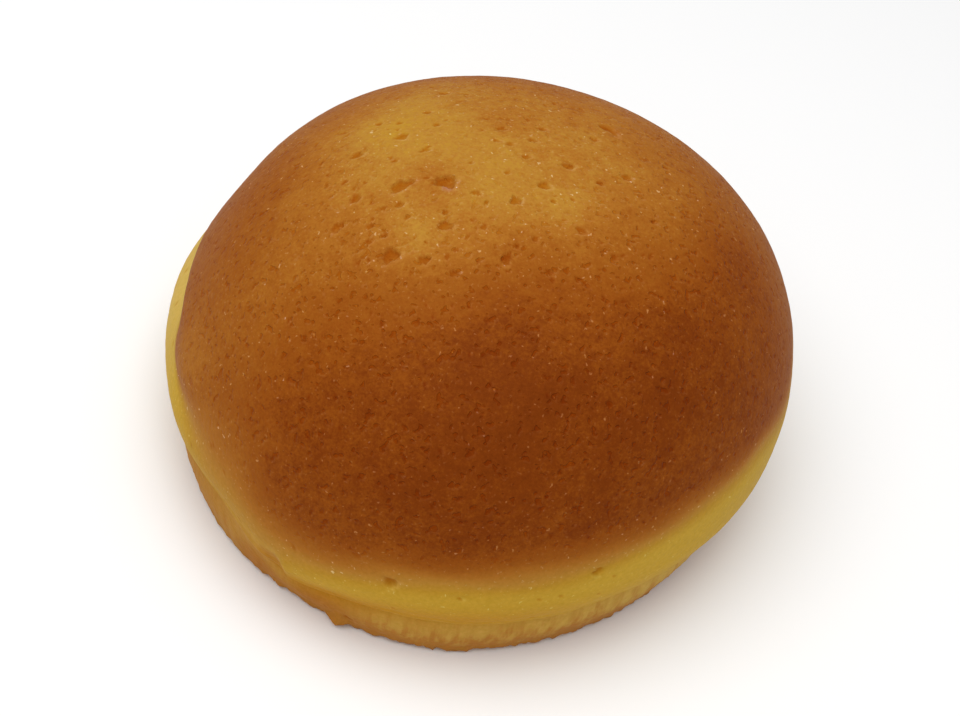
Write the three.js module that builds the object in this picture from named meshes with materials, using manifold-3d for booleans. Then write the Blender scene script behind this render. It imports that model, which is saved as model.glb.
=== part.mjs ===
// A milk boule: a small round milk loaf, baked in one piece and left uncut.
// A low foot stands on the flat underside, a soft skirt overhangs the foot at a crease,
// and the skirt runs up into one full dome with open pores round its crown.
// Millimetres, +Z up. The origin is on the underside, below the middle of the loaf.
// Directions are degrees from +X, counter-clockwise seen from above. The front is -Y.
import * as THREE from 'three';
import { mergeVertices } from 'three/addons/utils/BufferGeometryUtils.js';
import loadManifold from 'manifold-3d';

// Overall size
const WIDTH = 105;
const HEIGHT = 61;

// Upright outline
const BELLY_HEIGHT = 18.5; // where the loaf is widest
const SKIRT_HALF_AXIS = 25; // upright half axis of the ellipse that the skirt follows
const LIP_HEIGHT = 12; // lower edge of the skirt
const LIP_ROUND = 1.5;
const LIP_OVERHANG = 1.3; // how far the skirt stands out over the crease
const FOOT_WIDTH = 96.5;
const FOOT_BARREL = 0.6; // how far the foot's wall bows out
const EDGE_ROUND = 2.2; // round of the foot's lower edge
const DOME_SIDE_POWER = 2.4; // 2 would be an ellipse, more is squarer
const DOME_TOP_POWER = 2.07;

// Uneven baking
const CROWN_LEAN = { x: 2.5, y: 1.3 }; // how far the crown sits off the middle of the foot
const FOOT_SHIFT = { x: -0.7, y: 0.4 };
const OVALS = [
  { lobes: 2, share: 0.0145, at: 48 },
  { lobes: 3, share: 0.013, at: 18.5 },
];
// The crease rides up beside a fold in the skirt, and sways a little elsewhere.
const CREASE_SWAYS = [
  { by: 2.3, at: -127, spread: 13 },
  { by: -3.4, at: -115.5, spread: 6.5 },
  { by: 1.3, at: -55, spread: 14 },
  { by: 1.1, at: 72, spread: 22 },
  { by: -0.9, at: 128, spread: 14 },
];
const SWAY_FADE = 8; // the sways die out this far above the belly
// Places where the side swells out or draws in: how far, in which direction, how wide and how high.
const SWELLS = [
  { by: 2.4, at: 167, spread: 23, height: 18, reach: 7 },
  { by: -0.8, at: 161, spread: 12, height: 35, reach: 6 },
  { by: -1.7, at: -174, spread: 13, height: 26, reach: 2.2 },
  { by: -1.3, at: -155, spread: 8, height: 22, reach: 2.2 },
  { by: 0.8, at: -164, spread: 13, height: 30, reach: 4 },
  { by: 0.7, at: 65, spread: 18, height: 17, reach: 6 },
  { by: -0.6, at: -114, spread: 8, height: 1, reach: 5 },
  { by: 0.5, at: -86, spread: 6, height: 0, reach: 4 },
  { by: 0.7, at: -152, spread: 10, height: 10, reach: 6 },
  { by: 0.3, at: -60, spread: 20, height: 3, reach: 6 },
  { by: -0.3, at: -30, spread: 22, height: 15, reach: 9 },
];

// Open pores: place in plan, length, width, and the direction of the length
const PORES = [
  { x: -9.4, y: -5.6, length: 3.2, width: 2.8, turn: 10 },
  { x: -16.2, y: -7.4, length: 3.6, width: 2.2, turn: 35 },
  { x: -15.1, y: -20.8, length: 2.8, width: 2.3, turn: 60 },
  { x: -9.9, y: -21.3, length: 1.7, width: 1.5, turn: 0 },
  { x: 2.0, y: -19.2, length: 1.9, width: 1.5, turn: 80 },
  { x: 1.6, y: -7.8, length: 1.9, width: 1.6, turn: 20 },
  { x: 5.6, y: -3.0, length: 2.1, width: 1.6, turn: 0 },
  { x: 8.7, y: 3.1, length: 2.0, width: 1.5, turn: 10 },
  { x: 14.1, y: 16.6, length: 3.6, width: 1.7, turn: -30 },
  { x: 18.1, y: 4.4, length: 1.9, width: 1.5, turn: -20 },
  { x: -18.0, y: 4.7, length: 2.3, width: 1.5, turn: 35 },
  { x: -24.2, y: 0.6, length: 2.2, width: 1.5, turn: 15 },
  { x: -22.4, y: -9.6, length: 1.9, width: 1.5, turn: 80 },
  { x: -24.0, y: -15.2, length: 2.1, width: 1.5, turn: 40 },
  { x: -8.1, y: -14.8, length: 2.1, width: 1.8, turn: 0 },
  { x: 12.0, y: -10.6, length: 1.8, width: 1.3, turn: -30 },
];
const PORE_DEPTH_SHARE = 0.42; // depth of a pore as a share of its width
const PORE_DETAIL = 1;

// A crumb baked on to the lower edge of the foot
const CRUMB_SIZE = { x: 3.8, y: 2.6, z: 3 };
const CRUMB_AT = -106.5;
const CRUMB_HEIGHT = 2;
const CRUMB_DETAIL = 1;

// Fineness of the mesh
const SEGMENTS = 88;
const UNDERSIDE_RINGS = 3;
const EDGE_RINGS = 3;
const FOOT_RINGS = 5;
const LIP_RINGS = 4;
const SKIRT_RINGS = 4;
const DOME_RINGS = 32;

const RADIUS = WIDTH / 2;
const FOOT_RADIUS = FOOT_WIDTH / 2;
const CRUST_COLOUR = 0xa05f1f;
const CRUST_ROUGHNESS = 0.6;

// 1 in the given direction, falling off to both sides
function bell(azimuth, at, spread) {
  const away = THREE.MathUtils.euclideanModulo(azimuth - at + 180, 360) - 180;
  return Math.exp(-0.5 * (away / spread) ** 2);
}

// Points of the outline for count equal steps of a share from 0 to 1, without the first one
function steps(count, pointAt) {
  return Array.from({ length: count }, (_, i) => new THREE.Vector2(...pointAt((i + 1) / count)));
}

// Half of the upright section, from the middle of the underside out and up to the crown
function uprightOutline() {
  const quarter = Math.PI / 2;
  const lipTurn = Math.asin((BELLY_HEIGHT - LIP_HEIGHT) / SKIRT_HALF_AXIS);
  const lipRadius = RADIUS * Math.cos(lipTurn);
  const creaseRadius = lipRadius - LIP_OVERHANG;
  const creaseHeight = LIP_HEIGHT - LIP_ROUND;
  const flatRadius = FOOT_RADIUS - EDGE_ROUND;
  return [
    new THREE.Vector2(0, 0),
    ...steps(UNDERSIDE_RINGS, (t) => [t * flatRadius, 0]),
    ...steps(EDGE_RINGS, (t) => [
      flatRadius + EDGE_ROUND * Math.sin(t * quarter),
      EDGE_ROUND * (1 - Math.cos(t * quarter)),
    ]),
    ...steps(FOOT_RINGS, (t) => [
      THREE.MathUtils.lerp(FOOT_RADIUS, creaseRadius, t) + FOOT_BARREL * Math.sin(t * Math.PI),
      THREE.MathUtils.lerp(EDGE_ROUND, creaseHeight, t),
    ]),
    ...steps(LIP_RINGS, (t) => [
      creaseRadius + LIP_OVERHANG * Math.sin(t * quarter),
      creaseHeight + LIP_ROUND * (1 - Math.cos(t * quarter)),
    ]),
    ...steps(SKIRT_RINGS, (t) => [
      RADIUS * Math.cos(lipTurn * (1 - t)),
      BELLY_HEIGHT - SKIRT_HALF_AXIS * Math.sin(lipTurn * (1 - t)),
    ]),
    ...steps(DOME_RINGS, (t) => [
      RADIUS * Math.cos(t * quarter) ** (2 / DOME_SIDE_POWER),
      BELLY_HEIGHT + (HEIGHT - BELLY_HEIGHT) * Math.sin(t * quarter) ** (2 / DOME_TOP_POWER),
    ]),
  ];
}

// How much of the crease's sway reaches this height: all of it at the lip, none at the table
function swayShare(height) {
  const fadeEnd = BELLY_HEIGHT + SWAY_FADE;
  const below = height / LIP_HEIGHT;
  const above = (fadeEnd - height) / (fadeEnd - LIP_HEIGHT);
  return THREE.MathUtils.smoothstep(Math.min(below, above), 0, 1);
}

// Moves a point of the plain turned form to where the unevenly baked loaf has it
function bake(point) {
  const radius = Math.hypot(point.x, point.y);
  const turn = Math.atan2(point.y, point.x);
  const azimuth = THREE.MathUtils.radToDeg(turn);
  const height = point.z;

  let baked = radius;
  for (const { lobes, share, at } of OVALS) {
    baked += radius * share * Math.cos(lobes * (turn - THREE.MathUtils.degToRad(at)));
  }
  const outer = Math.min(1, radius / (RADIUS / 2));
  for (const { by, at, spread, height: middle, reach } of SWELLS) {
    baked += outer * by * bell(azimuth, at, spread) * Math.exp(-0.5 * ((height - middle) / reach) ** 2);
  }
  let lift = 0;
  for (const { by, at, spread } of CREASE_SWAYS) {
    lift += by * bell(azimuth, at, spread);
  }
  const lean = height / HEIGHT;
  const foot = 1 - Math.min(1, height / LIP_HEIGHT);
  return new THREE.Vector3(
    baked * Math.cos(turn) + lean * CROWN_LEAN.x + foot * FOOT_SHIFT.x,
    baked * Math.sin(turn) + lean * CROWN_LEAN.y + foot * FOOT_SHIFT.y,
    height + lift * swayShare(height),
  );
}

// Only positions, with shared corners merged, so that the surface is closed
function closed(geometry) {
  geometry.deleteAttribute('normal');
  geometry.deleteAttribute('uv');
  return mergeVertices(geometry);
}

function loafGeometry() {
  const loaf = new THREE.LatheGeometry(uprightOutline(), SEGMENTS).rotateX(Math.PI / 2);
  const position = loaf.attributes.position;
  const point = new THREE.Vector3();
  for (let i = 0; i < position.count; i += 1) {
    point.fromBufferAttribute(position, i);
    position.setXYZ(i, ...bake(point));
  }
  return closed(loaf);
}

// An ellipsoid half sunk in the dome at this place in plan, its short axis square to the surface
function poreGeometry(loafMesh, { x, y, length, width, turn }) {
  const above = new THREE.Vector3(x, y, 2 * HEIGHT);
  const down = new THREE.Vector3(0, 0, -1);
  const [hit] = new THREE.Raycaster(above, down).intersectObject(loafMesh);
  const upright = new THREE.Quaternion().setFromUnitVectors(new THREE.Vector3(0, 0, 1), hit.face.normal);
  return closed(new THREE.IcosahedronGeometry(1, PORE_DETAIL))
    .scale(length / 2, width / 2, width * PORE_DEPTH_SHARE)
    .rotateZ(THREE.MathUtils.degToRad(turn))
    .applyQuaternion(upright)
    .translate(hit.point.x, hit.point.y, hit.point.z);
}

function crumbGeometry() {
  const turn = THREE.MathUtils.degToRad(CRUMB_AT);
  const wall = new THREE.Vector3(FOOT_RADIUS * Math.cos(turn), FOOT_RADIUS * Math.sin(turn), CRUMB_HEIGHT);
  const middle = bake(wall);
  return closed(new THREE.IcosahedronGeometry(1, CRUMB_DETAIL))
    .scale(CRUMB_SIZE.x / 2, CRUMB_SIZE.y / 2, CRUMB_SIZE.z / 2)
    .translate(middle.x, middle.y, middle.z);
}

const wasm = await loadManifold();
wasm.setup();

function toSolid(geometry) {
  return new wasm.Manifold(new wasm.Mesh({
    numProp: 3,
    vertProperties: new Float32Array(geometry.attributes.position.array),
    triVerts: new Uint32Array(geometry.index.array),
  }));
}

function toGeometry(solid) {
  const mesh = solid.getMesh();
  const geometry = new THREE.BufferGeometry();
  geometry.setAttribute('position', new THREE.BufferAttribute(mesh.vertProperties, 3));
  geometry.setIndex(new THREE.BufferAttribute(mesh.triVerts, 1));
  return geometry;
}

function bouleGeometry() {
  const plain = loafGeometry();
  const plainMesh = new THREE.Mesh(plain, new THREE.MeshBasicMaterial());
  let solid = toSolid(plain).add(toSolid(crumbGeometry()));
  for (const pore of PORES) {
    solid = solid.subtract(toSolid(poreGeometry(plainMesh, pore)));
  }
  const geometry = toGeometry(solid);
  geometry.computeBoundingBox();
  const middle = geometry.boundingBox.getCenter(new THREE.Vector3());
  geometry.translate(-middle.x, -middle.y, 0);
  geometry.computeVertexNormals();
  return geometry;
}

const crust = new THREE.MeshStandardMaterial({
  color: CRUST_COLOUR,
  roughness: CRUST_ROUGHNESS,
  metalness: 0,
});
const boule = new THREE.Mesh(bouleGeometry(), crust);
boule.name = 'boule';

const loaf = new THREE.Group();
loaf.add(boule);

export default loaf;
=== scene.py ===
# A milk boule: a small round milk loaf with a gold crown, a brown shoulder and a bare yellow skirt
# that overhangs a tan foot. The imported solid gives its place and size. The loaf is built again here
# by the solid's own formulas, much finer, with the pores, grain and colours of the crust added.
# Lengths are millimetres until the mesh is made. Directions are degrees from +X, counter-clockwise
# seen from above, and the front is -Y.
import math

import bpy
import numpy as np
from mathutils import Matrix, Vector, noise


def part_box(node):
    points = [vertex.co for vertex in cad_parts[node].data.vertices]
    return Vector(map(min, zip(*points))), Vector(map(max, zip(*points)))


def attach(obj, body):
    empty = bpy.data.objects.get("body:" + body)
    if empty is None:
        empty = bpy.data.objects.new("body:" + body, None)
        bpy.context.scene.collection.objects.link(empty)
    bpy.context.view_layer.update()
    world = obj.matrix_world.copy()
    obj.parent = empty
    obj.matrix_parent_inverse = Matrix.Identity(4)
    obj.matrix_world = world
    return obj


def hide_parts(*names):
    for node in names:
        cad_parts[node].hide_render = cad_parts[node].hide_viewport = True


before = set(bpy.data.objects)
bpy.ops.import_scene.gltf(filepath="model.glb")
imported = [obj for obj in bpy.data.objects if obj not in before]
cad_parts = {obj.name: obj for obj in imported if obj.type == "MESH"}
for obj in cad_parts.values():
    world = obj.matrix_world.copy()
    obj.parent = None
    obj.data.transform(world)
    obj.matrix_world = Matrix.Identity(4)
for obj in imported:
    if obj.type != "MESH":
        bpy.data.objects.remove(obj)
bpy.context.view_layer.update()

MILLIMETRE = 0.001
SEED = 11
OFFSETS = {  # starts of the noises, so that none repeats another
    "roll": 3.0,
    "fibre": 5.0,
    "gold": 7.0,
    "crust edge": 13.0,
    "peel": 17.0,
    "rim": 23.0,
    "rag": 29.0,
    "lip": 41.0,
    "crumb": 53.0,
}

# Form, as in the solid's source
WIDTH = 105
HEIGHT = 61
BELLY_HEIGHT = 18.5
SKIRT_HALF_AXIS = 25
LIP_HEIGHT = 12
LIP_ROUND = 1.5
LIP_OVERHANG = 1.3
FOOT_WIDTH = 96.5
FOOT_BARREL = 0.6
EDGE_ROUND = 2.2
DOME_SIDE_POWER = 2.4
DOME_TOP_POWER = 2.07
CROWN_LEAN = (2.5, 1.3)
FOOT_SHIFT = (-0.7, 0.4)
OVALS = [  # lobes, share of the radius, direction
    (2, 0.0145, 48),
    (3, 0.013, 18.5),
]
CREASE_SWAYS = [  # height, direction, spread
    (2.3, -127, 13),
    (-3.4, -115.5, 6.5),
    (1.3, -55, 14),
    (1.1, 72, 22),
    (-0.9, 128, 14),
]
SWAY_FADE = 8  # how far above the belly the crease's sways die out
SWELLS = [  # how far out, direction, spread, height, reach
    (2.4, 167, 23, 18, 7),
    (-0.8, 161, 12, 35, 6),
    (-1.7, -174, 13, 26, 2.2),
    (-1.3, -155, 8, 22, 2.2),
    (0.8, -164, 13, 30, 4),
    (0.7, 65, 18, 17, 6),
    (-0.6, -114, 8, 1, 5),
    (0.5, -86, 6, 0, 4),
    (0.7, -152, 10, 10, 6),
    (0.3, -60, 20, 3, 6),
    (-0.3, -30, 22, 15, 9),
]
RADIUS = WIDTH / 2
FOOT_RADIUS = FOOT_WIDTH / 2

# Open pores of the solid: place in plan, length, width, direction of the length
PORES = [
    (-9.4, -5.6, 3.2, 2.8, 10),
    (-16.2, -7.4, 3.6, 2.2, 35),
    (-15.1, -20.8, 2.8, 2.3, 60),
    (-9.9, -21.3, 1.7, 1.5, 0),
    (2.0, -19.2, 1.9, 1.5, 80),
    (1.6, -7.8, 1.9, 1.6, 20),
    (5.6, -3.0, 2.1, 1.6, 0),
    (8.7, 3.1, 2.0, 1.5, 10),
    (14.1, 16.6, 3.6, 1.7, -30),
    (18.1, 4.4, 1.9, 1.5, -20),
    (-18.0, 4.7, 2.3, 1.5, 35),
    (-24.2, 0.6, 2.2, 1.5, 15),
    (-22.4, -9.6, 1.9, 1.5, 80),
    (-24.0, -15.2, 2.1, 1.5, 40),
    (-8.1, -14.8, 2.1, 1.8, 0),
    (12.0, -10.6, 1.8, 1.3, -30),
]
PORE_NUDGE = (-0.45, 0.75)  # from there to where the photograph has them
PORE_DEPTH_SHARE = 0.25  # depth of a pore as a share of its width
PORE_LOBES = [(2, 0.05), (3, 0.13), (4, 0.08), (5, 0.07), (7, 0.04)]  # waves round a pore's outline
PORE_LEAST_DARK = 0.65  # how dark the lit side of a pore is, when its shaded side is 1; the difference is painted shade
# Across a pore, as shares of its half size
PORE_WALL = (0.83, 1.1)  # where its wall starts and where it ends
PORE_DARK_TURN = (-0.7, 0.5)  # from its lit side to where it is as dark as on its shaded side: painted shade
PORE_HIGHLIGHT_AT = 1.25  # its painted highlight, a paler edge on the lit side
PORE_HIGHLIGHT_WIDTH = 0.2
PORE_HIGHLIGHT_TURN = (0.2, 0.9)  # toward the lit side, where that painted highlight starts and where it is full
PORE_REACH = 2.4  # farther points are left as they are

# Crumb on the lower edge of the foot
CRUMB_SIZE = (3.8, 2.6, 3)  # along the edge, out from it and up
CRUMB_AT = -104.7
CRUMB_HEIGHT = 2
CRUMB_FLANKS = (1.2, 0.9)  # reach of its left and its right flank, as shares of its half size
CRUMB_STEEPNESS = 0.7  # how fast it falls off up and down, when sideways is 1
CRUMB_TOP = 1.15  # above 1, so its top is flat
CRUMB_BULGE = 0.8  # below 1, so its flanks are round
CRUMB_ROUGHNESS = 0.2
CRUMB_GRAIN = 1.2

# Fineness of the mesh
OUTLINE_STEPS = 900  # along each stretch of the upright section
COLUMNS = 560  # round the side, halved towards the crown and the middle of the underside
FEWEST_COLUMNS = 35
NARROWEST_COLUMN = 0.5  # width of a column as a share of the step to the next ring
RING_STEP_CROWN = 0.34
RING_STEP_SIDE = 0.6
RING_STEP_UNDER = 5.0
CROWN_REACH = 29  # distance from the crown, along the surface, that has the fine rings
STEP_EASE = 12

# Smaller pores seen in the photograph: pixel, length, width, direction of the length in the picture
SMALL_PORES = [
    (345, 133, 1.8, 0.6, -10),
    (379, 124, 1.2, 0.8, 0),
    (444, 94, 1.9, 1.0, 10),
    (427, 113, 1.4, 0.8, 0),
    (436, 124, 1.2, 1.0, 40),
    (487, 118, 0.9, 0.7, 0),
    (502, 129, 1.7, 0.9, 10),
    (541, 129, 1.8, 0.8, -15),
    (532, 140, 1.4, 0.9, 0),
    (509, 143, 1.3, 0.9, 20),
    (496, 141, 1.6, 0.7, -10),
    (594, 139, 1.4, 1.0, -20),
    (425, 150, 1.7, 1.0, 40),
    (526, 157, 1.5, 0.9, -5),
    (426, 178, 1.4, 0.5, 0),
    (476, 193, 1.7, 0.9, -20),
    (486, 203, 1.1, 0.7, 70),
    (399, 205, 1.8, 1.0, 15),
    (369, 227, 1.4, 1.0, 20),
    (371, 220, 0.9, 0.7, 60),
    (369, 240, 1.6, 0.9, 10),
    (484, 227, 1.2, 0.9, 60),
    (535, 239, 1.2, 0.9, 75),
    (517, 246, 1.1, 1.0, 0),
    (467, 237, 0.9, 0.7, 60),
    (457, 250, 0.8, 0.8, 0),
    (448, 256, 1.1, 0.7, 70),
    (454, 273, 1.3, 1.1, 0),
    (550, 272, 1.2, 0.8, -30),
    (357, 262, 0.9, 0.8, 0),
    (614, 258, 1.4, 1.0, 70),
    (395, 161, 1.0, 0.8, 0),
    (344, 182, 1.1, 0.8, 20),
    (372, 203, 0.8, 0.7, 0),
    (391.5, 585, 2.3, 1.8, 0),
    # this shallow pit's dark tint is a painted shadow beside the crumb
    (348, 619, 1.7, 1.0, -50),
    (598, 573, 1.8, 1.5, 60),
    (460, 599, 1.0, 0.8, 0),
    (428, 146, 0.9, 0.6, 30),
    (337, 226, 1.2, 0.8, -30),
    (472, 220, 0.7, 0.6, 0),
    (564, 220, 1.0, 0.5, 20),
]
HIGHLIGHT_PLACES = [(448, 188, 0.85)]  # painted highlights beside pores: pixel, reach
LEAST_FACING = 0.1  # how squarely a point has to face the camera to be taken for one that is seen
# Still smaller pores, strewn by seed: how many, length, distance from the crown along the surface
STREWN_PORES = [
    (55, (0.6, 1.1), (0, 34)),
    (230, (0.5, 0.9), (20, 66)),
    (60, (0.4, 0.8), (70, 83)),
]
STREWN_WIDTHS = (0.6, 0.95)  # width as a share of the length
STREWN_CLEAR = 0.1  # none is strewn where other pores are darker than this

# Low relief
ROLL_SIZE = 9.0  # wide waves of crust and skirt
ROLL_DEPTH = 0.1
PEEL_SIZE = 1.7  # and fine ones
PEEL_DEPTH = 0.045
WAVES_FULL = 4  # how far above the lip both are full
FIBRE_WIDTH = 1.3  # upright fibres of the foot
FIBRE_LENGTH = 7.0
FIBRE_DEPTH = 0.1
RAGS = [(0.6, 1.3), (0.3, 0.8)]  # ragged lower edge: depth, size
RAG_HEIGHT = 3.0
LIP_WAVE_SIZE = 5.0
LIP_WAVE = 0.2
FILLS = [  # small changes of crease, neck and shoulder: how far out, direction, spread, height, reach
    (1.1, -125, 4.5, 10.5, 1.6),
    (0.5, -157, 8, 22.5, 2.2),
    (0.8, -156, 8, 26, 2.4),
    (-0.5, -170, 9, 31, 4),
    (0.4, -115.9, 0.8, 14, 2.5),
    (-0.5, -118.3, 1.4, 12.5, 2.5),
]

# Browning, from 0 on the bare skirt to 1 where the shoulder is darkest
GOLD_LEVEL = 0.37
GOLD_MIDDLE = (-10.7, 2.2)  # middle of the gold crown, on the crust rolled out flat
GOLD_TURN = -23  # direction of the gold crown's length
GOLD_STRETCH = 1.14  # longer by this in that direction, and narrower across it
GOLD_REACH = (7.6, 43.0)  # where the gold starts to darken and where it ends
GOLD_WANDER = 2.5  # how far its edge wanders in and out
GOLD_WANDER_SIZE = 9.0
DARK_AT = -70  # direction of the darkest shoulder
DARK_LEAST = 0.67  # browning of the shoulder on the other sides
DARK_TURN = (0.12, 1.03)  # cosine of the turn from there, where it starts to darken and would be darkest
PATCHES = [  # darker and paler places of the crust rolled out flat: middle, reach, change
    (-3, 12, 4.5, 0.10),
    (-24, 9, 6, -0.10),
    (-15, -6, 3, 0.13),
    (6, -9, 3, -0.11),
    (3, -18, 4.5, 0.06),
    (-15, -18, 3, -0.14),
    (-42, 0, 6, 0.09),
    (-27, -48, 6, 0.05),
    (45, -39, 9, -0.08),
    (33, -33, 4.5, 0.06),
    (-12, -31, 5, -0.07),
    (38, -1, 6, 0.18),
    (45, -25, 5, 0.06),
    (32, -19, 5, 0.05),
    (-33, 16, 6, 0.12),
    (-46, -4, 9, 0.06),
    (14, 26, 10, -0.09),
    (22, -13, 6, -0.08),
    (17, -30, 6, -0.08),
    (13, -38, 5, 0.06),
    (30, -54, 4, -0.08),
    (15, -59, 5, -0.06),
    (-11, -69, 5, -0.09),
    (-59, -32, 5, -0.13),
    (-34, -25, 6, -0.05),
    (-10, 14, 4, 0.06),
    (4, 3, 4, 0.06),
    (-14, -11, 4, 0.06),
    (-10, -55, 3, 0.05),
    (-3, -45, 3, 0.03),
    (-31, -42, 4, 0.05),
    (18, -24, 3, 0.05),
    (25, -39, 3, 0.04),
    (8, -46, 3, 0.03),
    (6, -53, 4, 0.04),
    (-1, -29, 3, 0.05),
    (31, -58, 4, 0.06),
    (-6, -21, 4, -0.07),
    (-17, -42, 3, 0.03),
    (-16, -25, 4, -0.05),
    (-24, -61, 3, -0.06),
    (50, -9, 5, 0.06),
    (50, -30, 3, -0.04),
    (-44, -53, 4, -0.06),
    (17, -47, 3, -0.05),
    (-27, -56, 3, 0.04),
]
CRUST_EDGE = 23.1  # height of the crust's lower edge
CRUST_EDGE_SWAYS = [  # height, direction, spread
    (-2.9, -115, 12),
    (8.7, -6, 46),
    (4.5, 178, 16),
    (1.6, -166, 6),
    (-3.2, -156, 7),
    (-0.5, -30, 14),
    (-2.4, -8, 8),
    (-0.8, -104, 10),
]
CRUST_FADE = 7.0  # half of the height over which the crust fades out
CRUST_FADE_SWAYS = [
    (7.5, -134, 7.5),
    (-5.4, -175, 14),
    (-2.5, -22, 20),
    (-3.6, -154, 7),
]
CRUST_GRAIN_START = 0.3  # how far below the edge the crust's grain starts, as a share of the fade
CRUST_WANDER = 0.9  # how far the edge wanders up and down
CRUST_WANDER_SIZE = 3.5
CRUST_WANDER_LENGTH = 14.0
SKIRT_TAN = [  # browning of the skirt, direction, spread: below 0 is paler than the rest of it
    (0.18, -121, 4.5),
    (-0.2, -178, 13),
    (0.07, -147, 6),
    (0.14, -135, 5),
    (0.07, -127, 3.5),
    (0.05, -78, 9),
]
LIP_TANS = [  # orange of the skirt's lower edge: share, direction, spread, height, reach
    (0.85, -108, 10, 10.8, 1.9),
    (0.20, -133, 5, 12.5, 2.2),
    (0.55, -85, 13, 13.2, 2.7),
    (0.15, -58, 18, 13.5, 3.0),
]
FOLD_CLIMBS = [  # how far the foot's colour climbs onto the skirt, direction, spread
    (3.5, -123, 4.5),
    (3.0, -118, 1.8),
]
FOLD_END = (-116.8, -115.8)  # where the climbing colour stops short, in degrees
STAINS = [  # smooth orange places on the foot: direction, height, width, tallness, strength
    (-123, 3.5, 6.5, 4.5, 1.0),
    (-119.3, 11.5, 2.4, 3.5, 0.75),
    (-105.6, 2.0, 2.2, 2.2, 1.0),
    (-109.5, 5.0, 7.0, 5.5, 1.0),
    (-88, 5.0, 18.0, 12.0, 0.28),
    (-143, 6.0, 18.0, 12.0, 0.70),
]
RIM_HEIGHT = (1.4, 10.2)  # where the brown of the foot's rim starts to fade and where it ends
RIM_WANDERS = [(1.2, 3.5), (1.6, 1.4)]  # how far up and down, size
RIM_LOSS = (0.8, -150, 18)  # share of the rim's brown that is missing, direction, spread
RIM_STREAKS = 0.45  # how much the foot's streaks break up the edge of the rim's brown
RIM_GRAIN = 0.8  # how much the fine grain does
RIM_LIMITS = (0.15, 0.9)  # where that edge starts and where the brown is full
STREAK_LIMITS = (0.35, 0.7)  # noise where a streak of the foot starts and where it is full

# Colours, as linear light, and tints that multiply them
BROWNING_COLOURS = [
    (-0.20, (0.598, 0.395, 0.0817)),
    (0.00, (0.525, 0.316, 0.0305)),
    (0.18, (0.461, 0.247, 0.0205)),
    (0.36, (0.421, 0.196, 0.0260)),
    (0.52, (0.366, 0.132, 0.0148)),
    (0.68, (0.302, 0.0888, 0.0079)),
    (0.85, (0.257, 0.0629, 0.0046)),
    (1.00, (0.182, 0.0356, 0.0026)),
    (1.25, (0.125, 0.0210, 0.0014)),
]
LIP_COLOUR = (0.454, 0.190, 0.0070)
FOOT_COLOUR = (0.550, 0.342, 0.065)
FOOT_STREAK_COLOUR = (0.489, 0.276, 0.047)
STAIN_COLOUR = (0.380, 0.135, 0.0123)
RIM_COLOUR = (0.405, 0.164, 0.023)
# PORE_TINT: the browner colour inside a pore, made stronger toward its shaded side as painted shade
PORE_TINT = (0.84, 0.60, 0.20)
# a painted highlight on the lit edge of pores
PORE_HIGHLIGHT_TINT = (1.14, 1.26, 2.2)
# a painted highlight on the places beside pores
HIGHLIGHT_TINT = (0.99, 1.01, 2.5)
# DOT_TINT darkens dots and pits, and the small pits' shaded walls as painted shade
DOT_TINT = (0.90, 0.68, 0.20)

# Painted glints, pits and grain of the crust
GLINTS = [  # painted glints: spacing, size, share of the places that have one, how many times brighter
    (0.8, 0.21, 0.5, (1.25, 1.62, 4.0)),
    (1.6, 0.25, 0.5, (1.75, 2.9, 11.0)),
]
GLINT_LEVELS = (-0.45, 0.95)  # browning where the painted glints start and where they are full
DOT_LEVELS = (0.1, 0.75)  # browning where the pits start and where they are full
DOT_CORE = 3  # a dot's size by that of its full middle
DOT_WARP = (0.8, 1.2)  # size and strength of the noise that makes dots uneven
LARGE_PITS = (2.2, 0.6, 0.4)  # spacing, size, share of the places that have one
PIT_SIZE = 1.1
PIT_LIMITS = (0.40, 0.31)  # noise where a small pit starts and where it is full
PIT_WALL = 0.4  # thickness of a small pit's shaded wall and of its lit one, where painted shade and a painted highlight go
SHADED_SIDE = (-0.677, 0.521, 0.521)  # direction that the shaded wall of a pore or pit lies in, where their painted shade goes
# how much darker a small pit's floor is, and its shaded wall, which is painted shade
PIT_FLOOR_DARK = 0.65
PIT_WALL_DARK = 0.35
PIT_GLINT = (1.07, 1.18, 2.0)  # how much brighter its lit wall is: a painted highlight
GRAINS = [  # size, detail, change of the browning
    (5.0, 2, 0.17),
    (1.6, 2, 0.19),
    (0.55, 2, 0.24),
    (0.3, 1, 0.15),
]
TONE_SIZE = 0.7  # fine light and dark
TONE_CHANGE = 0.34  # on skirt and foot
TONE_TINT = (1.0, 1.0, 3.0)  # how strongly red, green and blue change
TONE_LOSS = 0.17  # less of it on the crust
FINE_SIZE = 0.7  # grain of the rim's edge and of the gloss

# Bump and gloss
BUMP_SIZE = 0.9
BUMP_STRENGTH = 0.7
BUMP_DEPTH = 0.2
ROUGHNESS = 0.58
ROUGHNESS_CHANGE = 0.25
SPECULAR = 0.02
SHEEN = 0.025
SHEEN_ROUGHNESS = 0.4

# Camera, fitted to the outline in the photograph
IMAGE_WIDTH = 960
IMAGE_HEIGHT = 716
FOCAL_PIXELS = 1756.2
SENSOR_WIDTH = 36
CAMERA_TARGET = (0.575, -1.323, 20.349)
CAMERA_DISTANCE = 300
CAMERA_ELEVATION = 45
CAMERA_ROLL = 11.61
CAMERA_NEAREST = 10  # nothing nearer is rendered

# Stage
FLOOR_SIZE = 6000
FLOOR_COLOUR = (0.93, 0.93, 0.93, 1)
FLOOR_ROUGHNESS = 0.9
WORLD_STRENGTH = 0.49
KEY_PLACE = (-95, -130, 690)
KEY_SIZE = 800
KEY_POWER = 4.35  # watts


def hump(value, middle, reach):
    """1 where the value is in the middle, falling off to both sides."""
    return np.exp(-0.5 * ((value - middle) / reach) ** 2)


def turned(azimuth, at):
    """Degrees from the direction at, from -180 to 180."""
    return (azimuth - at + 180) % 360 - 180


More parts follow.
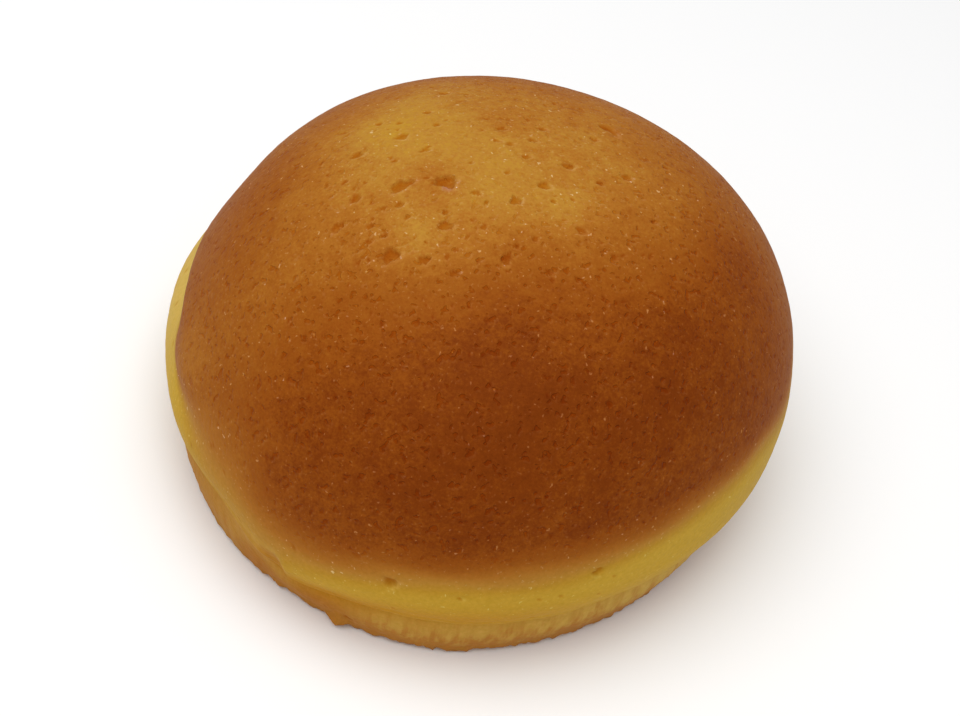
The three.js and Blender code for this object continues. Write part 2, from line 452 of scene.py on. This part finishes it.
def bell(azimuth, at, spread):
    """1 in the direction at, falling off to both sides."""
    return hump(turned(azimuth, at), 0, spread)


def sway(azimuth, sways):
    """Sum of the bells of a list of height, direction and spread."""
    return sum(by * bell(azimuth, at, spread) for by, at, spread in sways)


def smoothstep(value, low, high):
    """0 up to low and 1 from high on, with soft ends."""
    share = np.clip((value - low) / (high - low), 0, 1)
    return share * share * (3 - 2 * share)


def lerp(a, b, share):
    """From a, where the share is 0, to b, where it is 1."""
    return a + (b - a) * share


def noise_at(points, size, name):
    """The smooth noise of this name, from about -1 to 1, with features of this size, at rows of points."""
    return np.array([noise.noise(Vector(p)) for p in points / size + OFFSETS[name]])


# The form

def upright_outline():
    """Half of the upright section, from the crown out and down to the middle of the underside."""
    lip_turn = math.asin((BELLY_HEIGHT - LIP_HEIGHT) / SKIRT_HALF_AXIS)
    lip_radius = RADIUS * math.cos(lip_turn)
    crease_radius = lip_radius - LIP_OVERHANG
    crease_height = LIP_HEIGHT - LIP_ROUND
    flat_radius = FOOT_RADIUS - EDGE_ROUND
    t = np.linspace(0, 1, OUTLINE_STEPS)
    quarter = t * math.pi / 2
    dome = (
        RADIUS * np.sin(quarter) ** (2 / DOME_SIDE_POWER),
        BELLY_HEIGHT + (HEIGHT - BELLY_HEIGHT) * np.cos(quarter).clip(0) ** (2 / DOME_TOP_POWER),
    )
    skirt = (
        RADIUS * np.cos(lip_turn * t),
        BELLY_HEIGHT - SKIRT_HALF_AXIS * np.sin(lip_turn * t),
    )
    lip = (
        crease_radius + LIP_OVERHANG * np.cos(quarter),
        crease_height + LIP_ROUND * (1 - np.sin(quarter)),
    )
    foot = (
        lerp(crease_radius, FOOT_RADIUS, t) + FOOT_BARREL * np.sin(t * math.pi),
        lerp(crease_height, EDGE_ROUND, t),
    )
    edge = (
        flat_radius + EDGE_ROUND * np.cos(quarter),
        EDGE_ROUND * (1 - np.sin(quarter)),
    )
    underside = (flat_radius * (1 - t), 0 * t)
    return np.hstack([np.array(part) for part in (dome, skirt, lip, foot, edge, underside)]).T


def ring_places():
    """Radius, height and distance from the crown along the surface of every ring of the mesh."""
    line = upright_outline()
    run = np.r_[0, np.cumsum(np.linalg.norm(np.diff(line, axis=0), axis=1))]
    side_end = run[-1] - (FOOT_RADIUS - EDGE_ROUND)
    bends = [0, CROWN_REACH, CROWN_REACH + STEP_EASE, side_end, side_end + RING_STEP_UNDER, run[-1]]
    sizes = [RING_STEP_CROWN] * 2 + [RING_STEP_SIDE] * 2 + [RING_STEP_UNDER] * 2
    stops = [RING_STEP_CROWN]
    while stops[-1] < run[-1] - RING_STEP_UNDER:
        stops.append(stops[-1] + np.interp(stops[-1], bends, sizes))
    stops = np.array(stops)
    return np.c_[np.interp(stops, run, line[:, 0]), np.interp(stops, run, line[:, 1]), stops]


def ring_columns(rings):
    """How many columns each ring has: all of them on the side, fewer where the ring is small."""
    counts = []
    spacing = np.gradient(rings[:, 2])
    for radius, wanted in zip(rings[:, 0], spacing):
        count = COLUMNS
        while count > FEWEST_COLUMNS and 2 * math.pi * radius / count < NARROWEST_COLUMN * wanted:
            count //= 2
        if counts:
            count = min(max(count, counts[-1] // 2), counts[-1] * 2)
        counts.append(count)
    return counts


def bake(radius, height, azimuth):
    """Points of the plain turned form, moved to where the unevenly baked loaf has them."""
    turn = np.radians(azimuth)
    baked = radius.copy()
    for lobes, share, at in OVALS:
        baked += radius * share * np.cos(lobes * (turn - math.radians(at)))
    outer = np.minimum(1, radius / (RADIUS / 2))
    for by, at, spread, middle, reach in SWELLS:
        baked += outer * by * bell(azimuth, at, spread) * hump(height, middle, reach)
    lift = sway(azimuth, CREASE_SWAYS)
    fade_end = BELLY_HEIGHT + SWAY_FADE
    below = height / LIP_HEIGHT
    above = (fade_end - height) / (fade_end - LIP_HEIGHT)
    lean = height / HEIGHT
    foot = 1 - np.minimum(1, below)
    return np.c_[
        baked * np.cos(turn) + lean * CROWN_LEAN[0] + foot * FOOT_SHIFT[0],
        baked * np.sin(turn) + lean * CROWN_LEAN[1] + foot * FOOT_SHIFT[1],
        height + lift * smoothstep(np.minimum(below, above), 0, 1),
    ]


def stitch(upper_start, upper_count, lower_start, lower_count):
    """Faces between a ring and the next one down, which may have twice or half as many columns."""
    i = np.arange(min(upper_count, lower_count))
    following = (i + 1) % len(i)
    if upper_count == lower_count:
        upper, lower = upper_start, lower_start
        return np.c_[upper + i, lower + i, lower + following, upper + following].tolist()
    fine_start, coarse_start = lower_start, upper_start
    if upper_count > lower_count:
        fine_start, coarse_start = upper_start, lower_start
    left, middle, right = (fine_start + (2 * i + k) % (2 * len(i)) for k in range(3))
    near, far = coarse_start + i, coarse_start + following
    faces = np.vstack([np.c_[near, left, middle], np.c_[near, middle, far], np.c_[far, middle, right]])
    if upper_count > lower_count:
        faces = faces[:, ::-1]
    return faces.tolist()


class Loaf:
    """The plain baked form: its faces, and for each point where it is on the turned form."""

    def __init__(self):
        rings = ring_places()
        counts = ring_columns(rings)
        starts = np.r_[0, np.cumsum(counts)]
        self.azimuth = np.concatenate([np.arange(n) * 360 / n for n in counts])
        self.radius, self.height, self.arc = (np.repeat(rings[:, k], counts) for k in range(3))
        self.faces = []
        for k in range(len(counts) - 1):
            self.faces += stitch(starts[k], counts[k], starts[k + 1], counts[k + 1])
        crown, under = starts[-1], starts[-1] + 1
        first, last = np.arange(counts[0]), starts[-2] + np.arange(counts[-1])
        self.faces += np.c_[np.full(counts[0], crown), first, np.roll(first, -1)].tolist()
        self.faces += np.c_[np.full(counts[-1], under), np.roll(last, -1), last].tolist()
        self.azimuth = np.r_[self.azimuth, 0, 0]
        self.radius = np.r_[self.radius, 0, 0]
        self.height = np.r_[self.height, HEIGHT, 0]
        self.arc = np.r_[self.arc, 0, rings[-1, 2] + rings[-1, 0]]
        self.points = bake(self.radius, self.height, self.azimuth)
        low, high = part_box("boule")
        wanted = np.array((low + high) / 2)[:2] / MILLIMETRE
        self.shift = wanted - (self.points.max(0) + self.points.min(0))[:2] / 2
        self.points[:, :2] += self.shift


# Relief

def tangent(direction, normal):
    """The direction laid into the surface with this normal."""
    flat = direction - normal * (direction @ normal)
    return flat / np.linalg.norm(flat)


class Relief:
    """How far each point is moved along its normal, how much it is inside a pore, with painted shade on
    the pore's shaded side, and how much painted highlight it has beside a pore.
    """

    def __init__(self, loaf, normals):
        self.loaf = loaf
        self.normals = normals
        self.pixels, self.facing = project(loaf.points, normals)
        self.shaded_side = np.array(SHADED_SIDE)
        self.rise = np.zeros(len(loaf.points))
        self.pore = np.zeros(len(loaf.points))
        # self.edge holds the painted highlight on the lit edge of pores
        self.edge = np.zeros(len(loaf.points))
        self.painted_highlight = np.zeros(len(loaf.points))
        self.random = np.random.default_rng(SEED)

    def open_pore(self, point, length, width, along):
        """Sinks one irregular pit with steep walls, its length in the direction along."""
        normal = self.normals[point]
        first = tangent(along, normal)
        second = np.cross(normal, first)
        away = self.loaf.points - self.loaf.points[point]
        near = np.flatnonzero((away ** 2).sum(1) < (PORE_REACH * length / 2) ** 2)
        u = away[near] @ first / (length / 2)
        v = away[near] @ second / (width / 2)
        turn = np.arctan2(v, u)
        bend = 1.0
        for lobes, share in PORE_LOBES:
            bend = bend + share * np.cos(lobes * turn + self.random.uniform(0, 2 * math.pi))
        out = np.hypot(u, v) / bend
        inside = 1 - smoothstep(out, *PORE_WALL)
        edge = hump(out, PORE_HIGHLIGHT_AT, PORE_HIGHLIGHT_WIDTH)
        depth = PORE_DEPTH_SHARE * width
        # Painted shade: the pore's tint is made darker toward its shaded side
        shaded = away[near] @ tangent(self.shaded_side, normal) / (width / 2)
        dark = inside * lerp(PORE_LEAST_DARK, 1, smoothstep(shaded, *PORE_DARK_TURN))
        # Painted highlight on the pore's edge toward its lit side
        painted_highlight = edge * smoothstep(-shaded, *PORE_HIGHLIGHT_TURN)
        self.rise[near] = np.minimum(self.rise[near], -depth * inside)
        self.pore[near] = np.maximum(self.pore[near], dark)
        self.edge[near] = np.maximum(self.edge[near], painted_highlight)

    def large_pores(self):
        """The solid's own pores."""
        top = self.loaf.height > BELLY_HEIGHT
        for x, y, length, width, turn in PORES:
            place = np.array((x, y)) + PORE_NUDGE + self.loaf.shift
            gap = ((self.loaf.points[:, :2] - place) ** 2).sum(1)
            point = np.where(top, gap, np.inf).argmin()
            angle = math.radians(turn)
            self.open_pore(point, length, width, np.array((math.cos(angle), math.sin(angle), 0)))

    def seen_point(self, x, y):
        """The point that shows at this pixel of the photograph."""
        gap = ((self.pixels - (x, y)) ** 2).sum(1)
        return np.where(self.facing > LEAST_FACING, gap, np.inf).argmin()

    def small_pores(self):
        """Those placed by their pixels."""
        right, up = camera_axes()[:2]
        for x, y, length, width, turn in SMALL_PORES:
            angle = math.radians(turn)
            along = right * math.cos(angle) + up * math.sin(angle)
            self.open_pore(self.seen_point(x, y), length, width, along)

    # Painted highlights beside pores, round the points seen at these pixels
    def highlight_places(self):
        for x, y, reach in HIGHLIGHT_PLACES:
            away = self.loaf.points - self.loaf.points[self.seen_point(x, y)]
            self.painted_highlight = np.maximum(self.painted_highlight, np.exp(-((away ** 2).sum(1) / reach ** 2) ** 2))

    def strewn_pores(self):
        """Those placed by seed, evenly over their part of the surface."""
        for count, lengths, (nearest, farthest) in STREWN_PORES:
            zone = np.flatnonzero((self.loaf.arc > nearest) & (self.loaf.arc < farthest))
            chance = self.loaf.radius[zone] / (self.loaf.radius[zone].sum())
            for point in self.random.choice(zone, count, replace=False, p=chance):
                length = self.random.uniform(*lengths)
                width = length * self.random.uniform(*STREWN_WIDTHS)
                if self.pore[point] < STREWN_CLEAR:
                    self.open_pore(point, length, width, self.random.normal(size=3))

    def crust_waves(self):
        """The low unevenness of everything above the lip."""
        above = smoothstep(self.loaf.height, LIP_HEIGHT - LIP_ROUND, LIP_HEIGHT + WAVES_FULL)
        self.rise += above * ROLL_DEPTH * noise_at(self.loaf.points, ROLL_SIZE, "roll")
        self.rise += above * PEEL_DEPTH * noise_at(self.loaf.points, PEEL_SIZE, "peel")

    def foot_fibres(self):
        """Upright fibres on the foot, and its ragged lower edge."""
        height = self.loaf.height
        foot = (height > 0) * (1 - smoothstep(height, LIP_HEIGHT - 2 * LIP_ROUND, LIP_HEIGHT - LIP_ROUND))
        stretched = self.loaf.points * (1, 1, FIBRE_WIDTH / FIBRE_LENGTH)
        self.rise += foot * FIBRE_DEPTH * noise_at(stretched, FIBRE_WIDTH, "fibre")
        edge = (height > 0) * (1 - smoothstep(height, 0, RAG_HEIGHT))
        for depth, size in RAGS:
            self.rise += edge * depth * noise_at(self.loaf.points, size, "rag")

    def lip_waves(self):
        lip = hump(self.loaf.height, LIP_HEIGHT, LIP_ROUND)
        self.rise += lip * LIP_WAVE * noise_at(self.loaf.points, LIP_WAVE_SIZE, "lip")

    def fills(self):
        for by, at, spread, height, reach in FILLS:
            level = hump(self.loaf.height, height, reach)
            self.rise += by * level * bell(self.loaf.azimuth, at, spread)

    def crumb(self):
        """Raises one angular crumb on the lower edge of the foot."""
        length, thickness, tallness = CRUMB_SIZE
        left, right = CRUMB_FLANKS
        sideways = np.radians(turned(self.loaf.azimuth, CRUMB_AT)) * FOOT_RADIUS / (length / 2)
        sideways = np.where(sideways > 0, sideways / right, sideways / left)
        upward = (self.loaf.height - CRUMB_HEIGHT) / (tallness / 2)
        slope = np.abs(sideways) + CRUMB_STEEPNESS * np.abs(upward)
        slope += CRUMB_ROUGHNESS * noise_at(self.loaf.points, CRUMB_GRAIN, "crumb")
        peak = np.clip(CRUMB_TOP - slope, 0, 1) ** CRUMB_BULGE * (self.loaf.height > 0)
        here = peak > 0
        self.rise[here] = np.maximum(self.rise[here], peak[here] * thickness / 2)

    def points(self):
        """The loaf's points with all of the relief."""
        self.large_pores()
        self.small_pores()
        self.highlight_places()
        self.strewn_pores()
        self.crust_waves()
        self.foot_fibres()
        self.lip_waves()
        self.fills()
        self.crumb()
        moved = self.loaf.points + self.normals * self.rise[:, None]
        moved[:, 2] = np.maximum(moved[:, 2], 0)
        moved[self.loaf.height == 0] = self.loaf.points[self.loaf.height == 0]
        return moved


# Browning

def crust_edge(loaf):
    """Height of the crust's lower edge, and half of the height over which it fades."""
    edge = CRUST_EDGE + sway(loaf.azimuth, CRUST_EDGE_SWAYS)
    squeeze = CRUST_WANDER_SIZE / CRUST_WANDER_LENGTH
    edge += CRUST_WANDER * noise_at(loaf.points * (squeeze, squeeze, 1), CRUST_WANDER_SIZE, "crust edge")
    return edge, CRUST_FADE + sway(loaf.azimuth, CRUST_FADE_SWAYS)


def crust_share(loaf):
    """Where the crust has its grain: 0 on the skirt and 1 above the fade."""
    edge, fade = crust_edge(loaf)
    return smoothstep(loaf.height, edge - CRUST_GRAIN_START * fade, edge + fade)


def browning(loaf):
    """0 on the bare skirt, GOLD_LEVEL on the crown and 1 on the darkest shoulder."""
    turn = np.radians(loaf.azimuth)
    flat = np.c_[loaf.arc * np.cos(turn), loaf.arc * np.sin(turn)]
    x, y = (flat - GOLD_MIDDLE).T
    lie = math.radians(GOLD_TURN)
    along = x * math.cos(lie) + y * math.sin(lie)
    across = y * math.cos(lie) - x * math.sin(lie)
    away = np.hypot(along / GOLD_STRETCH, across * GOLD_STRETCH)
    away += GOLD_WANDER * noise_at(loaf.points, GOLD_WANDER_SIZE, "gold")
    toward_dark = np.cos(np.radians(loaf.azimuth - DARK_AT))
    shoulder = lerp(DARK_LEAST, 1, smoothstep(toward_dark, *DARK_TURN))
    level = lerp(GOLD_LEVEL, shoulder, smoothstep(away, *GOLD_REACH))
    for *middle, reach, change in PATCHES:
        level += change * hump(np.linalg.norm(flat - middle, axis=1), 0, reach)
    edge, fade = crust_edge(loaf)
    skirt = sway(loaf.azimuth, SKIRT_TAN)
    return lerp(skirt, level, smoothstep(loaf.height, edge - fade, edge + fade))


def lip_share(loaf):
    """How orange the lower edge of the skirt is."""
    share = np.zeros(len(loaf.points))
    for by, at, spread, height, reach in LIP_TANS:
        share += by * bell(loaf.azimuth, at, spread) * hump(loaf.height, height, reach)
    return share


def foot_share(loaf):
    """1 on the foot and 0 on the skirt, with the foot's colour climbing at the fold."""
    climb = sway(loaf.azimuth, FOLD_CLIMBS) * (1 - smoothstep(turned(loaf.azimuth, 0), *FOLD_END))
    height = loaf.height - climb
    return 1 - smoothstep(height, LIP_HEIGHT - 2 * LIP_ROUND, LIP_HEIGHT - LIP_ROUND / 2)


def rim_share(loaf):
    """How brown the lower rim of the foot is."""
    ragged = loaf.height.copy()
    for by, size in RIM_WANDERS:
        ragged += by * noise_at(loaf.points, size, "rim")
    kept = 1 - sway(loaf.azimuth, [RIM_LOSS])
    return kept * (1 - smoothstep(ragged, *RIM_HEIGHT)) * foot_share(loaf)


def stain_share(loaf):
    """How orange the foot is."""
    stain = np.zeros(len(loaf.points))
    for at, height, width, tallness, strength in STAINS:
        away = np.radians(turned(loaf.azimuth, at)) * FOOT_RADIUS
        stain = np.maximum(stain, strength * hump(away, 0, width) * hump(loaf.height, height, tallness))
    return stain * foot_share(loaf)


# The crust's material

MIX_A = 6  # sockets of a colour mix
MIX_B = 7
MIX_RESULT = 2


def add_node(tree, kind, inputs=None, **settings):
    """A new node. Each input is a plain value or another node's output."""
    made = tree.nodes.new(kind)
    for name, value in settings.items():
        setattr(made, name, value)
    for name, value in (inputs or {}).items():
        if isinstance(value, bpy.types.NodeSocket):
            tree.links.new(value, made.inputs[name])
        else:
            made.inputs[name].default_value = value
    return made


def calculate(tree, operation, *values):
    """A calculation with numbers."""
    return add_node(tree, "ShaderNodeMath", dict(enumerate(values)), operation=operation).outputs[0]


def combine(tree, operation, *values):
    """A calculation with vectors."""
    return add_node(tree, "ShaderNodeVectorMath", dict(enumerate(values)), operation=operation).outputs[0]


def ease(tree, value, low, high):
    """0 at low and 1 at high, or the other way round, with soft ends."""
    limits = {"Value": value, "From Min": low, "From Max": high}
    return add_node(tree, "ShaderNodeMapRange", limits, interpolation_type="SMOOTHSTEP").outputs[0]


def mix_colour(tree, share, first, second, blend="MIX"):
    inputs = {0: share, MIX_A: first, MIX_B: second}
    return add_node(tree, "ShaderNodeMix", inputs, data_type="RGBA", blend_type=blend).outputs[MIX_RESULT]


def opaque(colour):
    return (*colour, 1)


def tinted(tree, share, colour, tint):
    """The colour, multiplied by the tint where the share is 1."""
    return mix_colour(tree, share, colour, opaque(tint), "MULTIPLY")


def attribute(tree, name):
    """A value that the mesh has at each point."""
    return add_node(tree, "ShaderNodeAttribute", attribute_name=name).outputs["Fac"]


def grain(tree, place, size, detail, roughness=0.5):
    """Noise from 0 to 1 with features of this size."""
    inputs = {"Vector": place, "Scale": 1 / size, "Detail": detail, "Roughness": roughness}
    return add_node(tree, "ShaderNodeTexNoise", inputs).outputs[0]


def wave(tree, place, size, detail, roughness=0.5):
    """The same noise, from -0.5 to 0.5."""
    return calculate(tree, "SUBTRACT", grain(tree, place, size, detail, roughness), 0.5)


def dots(tree, place, spacing, size, share):
    """1 inside small round dots, one in each of a share of cells of this spacing."""
    cells = add_node(tree, "ShaderNodeTexVoronoi", {"Vector": place, "Scale": 1 / spacing})
    reach = size / spacing
    inside = ease(tree, cells.outputs["Distance"], reach, reach / DOT_CORE)
    chosen = calculate(tree, "LESS_THAN", cells.outputs["Color"], share)
    return calculate(tree, "MULTIPLY", inside, chosen)


def warp(tree, place, size, by):
    """The place, moved about by noise, so that dots come out uneven."""
    inputs = {"Vector": place, "Scale": 1 / size, "Detail": 1}
    shift = add_node(tree, "ShaderNodeTexNoise", inputs).outputs["Color"]
    return combine(tree, "MULTIPLY_ADD", shift, [by] * 3, place)


def browning_ramp(tree, level):
    """The colour of this browning."""
    start = BROWNING_COLOURS[0][0]
    end = BROWNING_COLOURS[-1][0]
    limits = {"Value": level, "From Min": start, "From Max": end}
    share = add_node(tree, "ShaderNodeMapRange", limits).outputs[0]
    ramp = add_node(tree, "ShaderNodeValToRGB", {0: share})
    elements = ramp.color_ramp.elements
    while len(elements) < len(BROWNING_COLOURS):
        elements.new(1)
    for element, (place, colour) in zip(elements, BROWNING_COLOURS):
        element.position = (place - start) / (end - start)
        element.color = opaque(colour)
    return ramp.outputs[0]


def browned(tree, place, baked, crust):
    """Colour of the crust and the skirt, by the browning and its grain."""
    level = baked
    for size, detail, share in GRAINS:
        change = calculate(tree, "MULTIPLY", wave(tree, place, size, detail), crust)
        level = calculate(tree, "MULTIPLY_ADD", change, share, level)
    return browning_ramp(tree, level)


def with_foot(tree, place, colour, foot, fine):
    """The colour, with the streaked and stained foot, its brown rim and the orange lip over it."""
    upright = combine(tree, "MULTIPLY", place, (1, 1, FIBRE_WIDTH / FIBRE_LENGTH))
    streak = ease(tree, grain(tree, upright, FIBRE_WIDTH, detail=3, roughness=0.6), *STREAK_LIMITS)
    bare = mix_colour(tree, streak, opaque(FOOT_COLOUR), opaque(FOOT_STREAK_COLOUR))
    stained = mix_colour(tree, attribute(tree, "stain"), bare, opaque(STAIN_COLOUR))
    colour = mix_colour(tree, foot, colour, stained)
    streak_wave = calculate(tree, "SUBTRACT", streak, 0.5)
    ragged = calculate(tree, "MULTIPLY_ADD", streak_wave, RIM_STREAKS, attribute(tree, "rim"))
    ragged = calculate(tree, "MULTIPLY_ADD", fine, RIM_GRAIN, ragged)
    rim = calculate(tree, "MULTIPLY", ease(tree, ragged, *RIM_LIMITS), foot)
    colour = mix_colour(tree, rim, colour, opaque(RIM_COLOUR))
    return mix_colour(tree, attribute(tree, "lip"), colour, opaque(LIP_COLOUR))


def pits(tree, place, uneven, pitted):
    """How much a place is inside a pit of the crust, with painted shade on a small pit's shaded wall, and
    how much painted highlight it has on a small pit's lit wall.
    """
    large = dots(tree, uneven, *LARGE_PITS)
    small = ease(tree, grain(tree, place, PIT_SIZE, detail=1), *PIT_LIMITS)
    # The pit, shifted toward its shaded side, gives its shaded wall painted shade and its lit wall a
    # painted highlight
    beside = combine(tree, "ADD", place, Vector(SHADED_SIDE) * PIT_WALL)
    small_beside = ease(tree, grain(tree, beside, PIT_SIZE, detail=1), *PIT_LIMITS)
    shaded_wall = calculate(tree, "MAXIMUM", calculate(tree, "SUBTRACT", small, small_beside), 0.0)
    lit_wall = calculate(tree, "MAXIMUM", calculate(tree, "SUBTRACT", small_beside, small), 0.0)
    hollow = calculate(tree, "MULTIPLY", small, PIT_FLOOR_DARK)
    hollow = calculate(tree, "MULTIPLY_ADD", shaded_wall, PIT_WALL_DARK, hollow)
    inside = calculate(tree, "MULTIPLY", calculate(tree, "MAXIMUM", large, hollow), pitted)
    return inside, calculate(tree, "MULTIPLY", lit_wall, pitted)


def with_glints(tree, colour, uneven, baked, foot):
    """The colour, with painted glints: bright specks where the crust is browned."""
    glinting = ease(tree, baked, *GLINT_LEVELS)
    glinting = calculate(tree, "MULTIPLY", glinting, calculate(tree, "SUBTRACT", 1.0, foot))
    for spacing, size, share, tint in GLINTS:
        bright = calculate(tree, "MULTIPLY", dots(tree, uneven, spacing, size, share), glinting)
        colour = tinted(tree, bright, colour, tint)
    return colour


def with_tone(tree, place, colour, crust):
    """The colour, with fine light and dark."""
    change = calculate(tree, "MULTIPLY_ADD", crust, -TONE_LOSS, TONE_CHANGE)
    tone = calculate(tree, "MULTIPLY", wave(tree, place, TONE_SIZE, detail=3, roughness=0.6), change)
    tint = combine(tree, "MULTIPLY_ADD", tone, TONE_TINT, (1, 1, 1))
    return combine(tree, "MULTIPLY", colour, tint)


def crust_material():
    material = bpy.data.materials.new("baked_crust")
    material.use_nodes = True
    tree = material.node_tree
    metres = add_node(tree, "ShaderNodeTexCoord").outputs["Object"]
    place = combine(tree, "MULTIPLY", metres, [1 / MILLIMETRE] * 3)
    uneven = warp(tree, place, *DOT_WARP)
    baked = attribute(tree, "browning")
    crust = attribute(tree, "crust")
    foot = attribute(tree, "foot")
    fine = wave(tree, place, FINE_SIZE, detail=2)

    colour = browned(tree, place, baked, crust)
    colour = with_foot(tree, place, colour, foot, fine)
    pitted = calculate(tree, "MULTIPLY", crust, ease(tree, baked, *DOT_LEVELS))
    pit, glint = pits(tree, place, uneven, pitted)
    # Dots and pits darken the colour; on the small pits' shaded walls this is painted shade
    colour = tinted(tree, pit, colour, DOT_TINT)
    # Painted highlight on the small pits' lit walls
    colour = tinted(tree, glint, colour, PIT_GLINT)
    # A pore's own browner colour, darker toward its shaded side as painted shade
    colour = tinted(tree, attribute(tree, "pore"), colour, PORE_TINT)
    # Painted highlight on the lit edge of pores
    colour = tinted(tree, attribute(tree, "pore_highlight"), colour, PORE_HIGHLIGHT_TINT)
    # Painted highlight beside pores
    colour = tinted(tree, attribute(tree, "painted_highlight"), colour, HIGHLIGHT_TINT)
    colour = with_glints(tree, colour, uneven, baked, foot)
    colour = with_tone(tree, place, colour, crust)

    height = calculate(tree, "MULTIPLY_ADD", pit, -1.0, grain(tree, place, BUMP_SIZE, detail=3))
    relief = {"Height": height, "Strength": BUMP_STRENGTH, "Distance": BUMP_DEPTH * MILLIMETRE}
    bump = add_node(tree, "ShaderNodeBump", relief).outputs[0]
    rough = calculate(tree, "MULTIPLY_ADD", fine, ROUGHNESS_CHANGE, ROUGHNESS)

    shader = tree.nodes["Principled BSDF"]
    tree.links.new(colour, shader.inputs["Base Color"])
    tree.links.new(bump, shader.inputs["Normal"])
    tree.links.new(rough, shader.inputs["Roughness"])
    shader.inputs["Specular IOR Level"].default_value = SPECULAR
    shader.inputs["Sheen Weight"].default_value = SHEEN
    shader.inputs["Sheen Roughness"].default_value = SHEEN_ROUGHNESS
    return material


# The photograph's view

def camera_axes():
    """Directions to the right, up and back toward the camera in the picture."""
    elevation = math.radians(CAMERA_ELEVATION)
    roll = math.radians(CAMERA_ROLL)
    back = np.array((0, -math.cos(elevation), math.sin(elevation)))
    level = np.array((1.0, 0, 0))
    upward = np.cross(back, level)
    right = level * math.cos(roll) + upward * math.sin(roll)
    up = upward * math.cos(roll) - level * math.sin(roll)
    return right, up, back


def camera_place():
    return np.array(CAMERA_TARGET) + CAMERA_DISTANCE * camera_axes()[2]


def project(points, normals):
    """Pixels of the photograph that the points fall on, and how squarely each faces the camera."""
    right, up, back = camera_axes()
    away = points - camera_place()
    scale = FOCAL_PIXELS / -(away @ back)
    pixels = np.c_[
        IMAGE_WIDTH / 2 + scale * (away @ right),
        IMAGE_HEIGHT / 2 - scale * (away @ up),
    ]
    facing = -(away * normals).sum(1) / np.linalg.norm(away, axis=1)
    return pixels, facing


# The piece

def make_mesh(name, points, faces):
    mesh = bpy.data.meshes.new(name)
    mesh.from_pydata((points * MILLIMETRE).tolist(), [], faces)
    mesh.validate()
    mesh.shade_smooth()
    return mesh


def point_normals(mesh):
    normals = np.zeros(len(mesh.vertices) * 3, np.float32)
    mesh.vertex_normals.foreach_get("vector", normals)
    return normals.reshape(-1, 3).astype(float)


def give(mesh, name, values):
    """Stores a value for each point, for the material to read."""
    made = mesh.attributes.new(name, "FLOAT", "POINT")
    made.data.foreach_set("value", values.astype(np.float32))


def make_boule():
    loaf = Loaf()
    mesh = make_mesh("baked_boule", loaf.points, loaf.faces)
    relief = Relief(loaf, point_normals(mesh))
    points = relief.points()
    mesh.vertices.foreach_set("co", (points * MILLIMETRE).astype(np.float32).ravel())
    mesh.update()
    give(mesh, "browning", browning(loaf))
    give(mesh, "crust", crust_share(loaf))
    give(mesh, "pore", relief.pore)
    give(mesh, "pore_highlight", relief.edge)
    give(mesh, "painted_highlight", relief.painted_highlight)
    give(mesh, "foot", foot_share(loaf))
    give(mesh, "rim", rim_share(loaf))
    give(mesh, "stain", stain_share(loaf))
    give(mesh, "lip", lip_share(loaf))
    mesh.materials.append(crust_material())
    boule = bpy.data.objects.new("baked_boule", mesh)
    bpy.context.scene.collection.objects.link(boule)
    return boule


# Stage

def make_floor():
    half = FLOOR_SIZE * MILLIMETRE / 2
    mesh = bpy.data.meshes.new("floor")
    corners = [(-half, -half, 0), (half, -half, 0), (half, half, 0), (-half, half, 0)]
    mesh.from_pydata(corners, [], [(0, 1, 2, 3)])
    material = bpy.data.materials.new("floor")
    material.use_nodes = True
    shader = material.node_tree.nodes["Principled BSDF"]
    shader.inputs["Base Color"].default_value = FLOOR_COLOUR
    shader.inputs["Roughness"].default_value = FLOOR_ROUGHNESS
    shader.inputs["Specular IOR Level"].default_value = 0.0
    mesh.materials.append(material)
    floor = bpy.data.objects.new("floor", mesh)
    bpy.context.scene.collection.objects.link(floor)


def make_light():
    scene = bpy.context.scene
    scene.view_settings.view_transform = "Standard"
    world = bpy.data.worlds.new("studio")
    world.use_nodes = True
    background = world.node_tree.nodes["Background"]
    background.inputs["Color"].default_value = (1, 1, 1, 1)
    background.inputs["Strength"].default_value = WORLD_STRENGTH
    scene.world = world
    light = bpy.data.lights.new("key", "AREA")
    light.shape = "DISK"
    light.size = KEY_SIZE * MILLIMETRE
    light.energy = KEY_POWER
    key = bpy.data.objects.new("key", light)
    key.location = Vector(KEY_PLACE) * MILLIMETRE
    key.rotation_euler = (-key.location).to_track_quat("-Z", "Y").to_euler()
    scene.collection.objects.link(key)


def make_camera():
    right, up, back = camera_axes()
    data = bpy.data.cameras.new("camera")
    data.sensor_fit = "HORIZONTAL"
    data.sensor_width = SENSOR_WIDTH
    data.lens = FOCAL_PIXELS * SENSOR_WIDTH / IMAGE_WIDTH
    data.clip_start = CAMERA_NEAREST * MILLIMETRE
    camera = bpy.data.objects.new("camera", data)
    axes = Matrix([right, up, back]).transposed().to_4x4()
    camera.matrix_world = Matrix.Translation(Vector(camera_place()) * MILLIMETRE) @ axes
    bpy.context.scene.collection.objects.link(camera)
    bpy.context.scene.camera = camera


boule = make_boule()
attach(boule, "root")
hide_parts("boule")
make_floor()
make_light()
make_camera()
